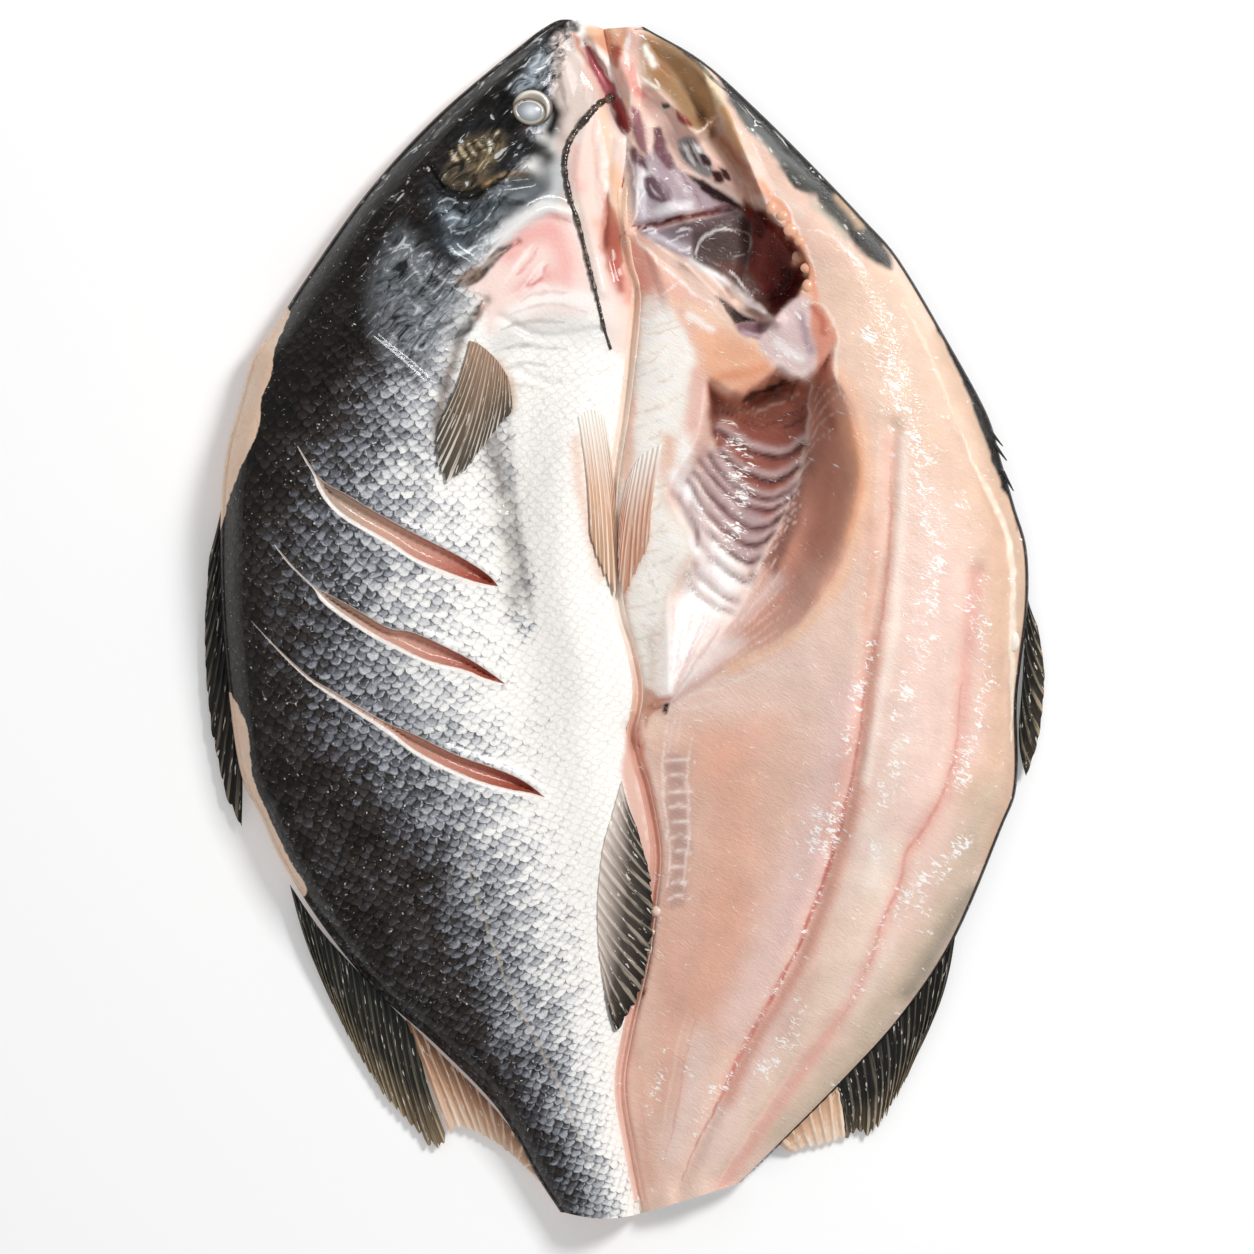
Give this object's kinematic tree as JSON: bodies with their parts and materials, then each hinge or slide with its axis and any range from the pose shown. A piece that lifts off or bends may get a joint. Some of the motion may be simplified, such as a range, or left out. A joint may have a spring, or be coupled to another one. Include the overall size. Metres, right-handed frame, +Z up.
{
  "type": "butterflied sea bass",
  "caption": "Whole sea bass split along the back and opened flat, one half skin side up with score cuts, the other half flesh side up with open belly and gill cavities.",
  "frame": {"origin": "centre of the bounding box's bottom face, on the surface the fish lies on", "axes": "+Z up from the surface, +Y along the fish from tail to snout, +X from the skin-side-up half to the flesh-side-up half"},
  "size_m": [0.2113, 0.3004, 0.0229],
  "materials": {
    "skin": "wet silver-grey scaled skin, nearly black along the back and cream on the belly",
    "flesh": "wet pale pink raw flesh",
    "membrane": "wet mauve and silver lining of the belly and gill cavities",
    "fin": "wet brown-black fin rays with paler webs",
    "eye": "clouded glossy lens"
  },
  "bodies": {
    "root": {"sea_bass": "skin"}
  },
  "joints": []
}
